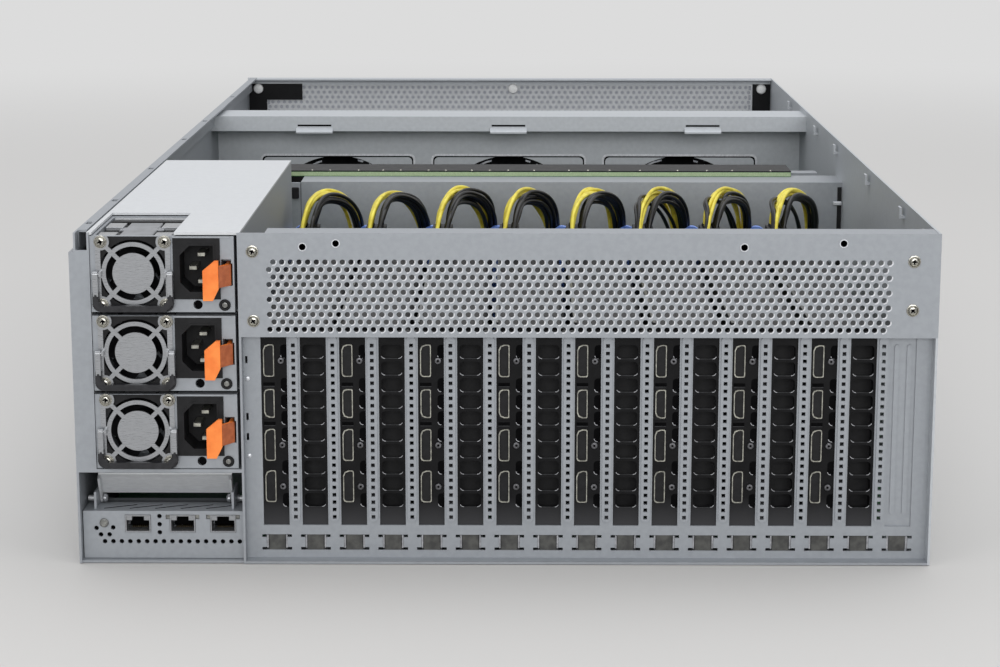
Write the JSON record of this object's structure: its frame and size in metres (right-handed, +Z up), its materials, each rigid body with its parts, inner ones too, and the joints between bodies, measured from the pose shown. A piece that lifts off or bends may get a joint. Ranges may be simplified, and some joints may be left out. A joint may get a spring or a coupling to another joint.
{
  "type": "4u gpu server",
  "caption": "Rack server case without its lid, with upright double-width graphics cards, stacked slide-out power supplies, a rear module with a lever handle, cross walls and case fans.",
  "frame": {"origin": "middle of the floor pan's underside", "axes": "+X to the right seen from the rear, +Y from the rear (slots and supplies) to the front panel, +Z up"},
  "size_m": [0.444, 0.828, 0.175],
  "materials": {
    "galvanised_sheet": "satin zinc-coated sheet",
    "bright_steel": "bright stamped steel",
    "zinc_case": "satin zinc-coated sheet",
    "black_paint": "black paint",
    "black_bracket": "black plating",
    "black_plastic": "moulded",
    "bail_plastic": "moulded",
    "grey_plastic": "moulded",
    "orange_plastic": "moulded",
    "blue_plastic": "moulded",
    "circuit_board": "solder mask",
    "black_film": "insulating film",
    "aluminium": "extruded",
    "lead_jacket": "flexible jackets"
  },
  "bodies": {
    "chassis": {"card_baseboard": "circuit_board", "card_boards": "circuit_board", "card_brackets": "black_bracket", "card_holders": "blue_plastic", "card_shrouds": "black_plastic", "case_fan_frames": "black_plastic", "fan_wall": "galvanised_sheet", "floor_pan": "galvanised_sheet", "front_corner_brackets": "black_paint", "front_panel": "galvanised_sheet", "heat_sinks": "aluminium", "lead_headers": "black_plastic", "main_board": "circuit_board", "memory_modules": "circuit_board", "mid_partition": "galvanised_sheet", "power_board_cover": "black_film", "power_board_posts": "galvanised_sheet", "power_distribution_board": "circuit_board", "power_leads": "lead_jacket", "power_plugs": "black_plastic", "psu_bay_cover": "galvanised_sheet", "psu_bay_wall": "galvanised_sheet", "psu_shelf": "galvanised_sheet", "rear_slot_frame": "galvanised_sheet", "rear_vent_panel": "galvanised_sheet", "side_wall_left": "galvanised_sheet", "side_wall_right": "galvanised_sheet", "slot_blank_plate": "galvanised_sheet", "slot_sockets": "black_plastic", "supply_backplane": "circuit_board"},
    "psu_1": {"psu_case_1": "zinc_case", "psu_fan_guard_1": "bright_steel", "psu_inlet_1": "black_plastic"},
    "psu_bail_1": {"psu_bail_1": "bail_plastic"},
    "psu_latch_1": {"psu_latch_1": "orange_plastic"},
    "psu_fan_rotor_1": {"psu_fan_rotor_1": "black_plastic"},
    "case_fan_rotor_1": {"case_fan_rotor_1": "black_plastic"},
    "psu_2": {"psu_case_2": "zinc_case", "psu_fan_guard_2": "bright_steel", "psu_inlet_2": "black_plastic"},
    "psu_bail_2": {"psu_bail_2": "bail_plastic"},
    "psu_latch_2": {"psu_latch_2": "orange_plastic"},
    "psu_fan_rotor_2": {"psu_fan_rotor_2": "black_plastic"},
    "case_fan_rotor_2": {"case_fan_rotor_2": "black_plastic"},
    "psu_3": {"psu_case_3": "zinc_case", "psu_fan_guard_3": "bright_steel", "psu_inlet_3": "black_plastic"},
    "psu_bail_3": {"psu_bail_3": "bail_plastic"},
    "psu_latch_3": {"psu_latch_3": "orange_plastic"},
    "psu_fan_rotor_3": {"psu_fan_rotor_3": "black_plastic"},
    "case_fan_rotor_3": {"case_fan_rotor_3": "black_plastic"},
    "io_module": {"module_tray": "galvanised_sheet", "module_board": "circuit_board", "network_jacks": "bright_steel"},
    "module_handle": {"module_handle": "bright_steel"},
    "module_button": {"module_button": "grey_plastic"}
  },
  "joints": [
    {"name": "psu_slide_1", "type": "slide", "parent": "chassis", "child": "psu_1", "axis": [0, -1, 0], "range_m": [0, 0.24]},
    {"name": "psu_bail_hinge_1", "type": "hinge", "parent": "psu_1", "child": "psu_bail_1", "pos_m": [-0.1893, -0.412, 0.154], "axis": [-1, 0, 0], "range_deg": [0, 95]},
    {"name": "psu_latch_press_1", "type": "hinge", "parent": "psu_1", "child": "psu_latch_1", "pos_m": [-0.1414, -0.372, 0.1533], "axis": [0, 0, -1], "range_deg": [0, 2.5], "stiffness_Nm_per_rad": 4},
    {"name": "psu_fan_spin_1", "type": "hinge", "parent": "psu_1", "child": "psu_fan_rotor_1", "pos_m": [-0.1893, -0.399, 0.154], "axis": [0, 1, 0], "continuous": true},
    {"name": "case_fan_spin_1", "type": "hinge", "parent": "chassis", "child": "case_fan_rotor_1", "pos_m": [-0.13, 0.215, 0.079], "axis": [0, 1, 0], "continuous": true},
    {"name": "psu_slide_2", "type": "slide", "parent": "chassis", "child": "psu_2", "axis": [0, -1, 0], "range_m": [0, 0.24]},
    {"name": "psu_bail_hinge_2", "type": "hinge", "parent": "psu_2", "child": "psu_bail_2", "pos_m": [-0.1893, -0.412, 0.1127], "axis": [-1, 0, 0], "range_deg": [0, 95]},
    {"name": "psu_latch_press_2", "type": "hinge", "parent": "psu_2", "child": "psu_latch_2", "pos_m": [-0.1414, -0.372, 0.112], "axis": [0, 0, -1], "range_deg": [0, 2.5], "stiffness_Nm_per_rad": 4},
    {"name": "psu_fan_spin_2", "type": "hinge", "parent": "psu_2", "child": "psu_fan_rotor_2", "pos_m": [-0.1893, -0.399, 0.1127], "axis": [0, 1, 0], "continuous": true},
    {"name": "case_fan_spin_2", "type": "hinge", "parent": "chassis", "child": "case_fan_rotor_2", "pos_m": [0, 0.215, 0.079], "axis": [0, 1, 0], "continuous": true},
    {"name": "psu_slide_3", "type": "slide", "parent": "chassis", "child": "psu_3", "axis": [0, -1, 0], "range_m": [0, 0.24]},
    {"name": "psu_bail_hinge_3", "type": "hinge", "parent": "psu_3", "child": "psu_bail_3", "pos_m": [-0.1893, -0.412, 0.0714], "axis": [-1, 0, 0], "range_deg": [0, 95]},
    {"name": "psu_latch_press_3", "type": "hinge", "parent": "psu_3", "child": "psu_latch_3", "pos_m": [-0.1414, -0.372, 0.0707], "axis": [0, 0, -1], "range_deg": [0, 2.5], "stiffness_Nm_per_rad": 4},
    {"name": "psu_fan_spin_3", "type": "hinge", "parent": "psu_3", "child": "psu_fan_rotor_3", "pos_m": [-0.1893, -0.399, 0.0714], "axis": [0, 1, 0], "continuous": true},
    {"name": "case_fan_spin_3", "type": "hinge", "parent": "chassis", "child": "case_fan_rotor_3", "pos_m": [0.13, 0.215, 0.079], "axis": [0, 1, 0], "continuous": true},
    {"name": "module_slide", "type": "slide", "parent": "chassis", "child": "io_module", "axis": [0, -1, 0], "range_m": [0, 0.12]},
    {"name": "module_handle_hinge", "type": "hinge", "parent": "io_module", "child": "module_handle", "pos_m": [-0.177, -0.389, 0.0296], "axis": [1, 0, 0], "range_deg": [0, 60]},
    {"name": "module_button_press", "type": "slide", "parent": "io_module", "child": "module_button", "axis": [0, 1, 0], "range_m": [0, 0.0008], "stiffness_N_per_m": 600}
  ]
}
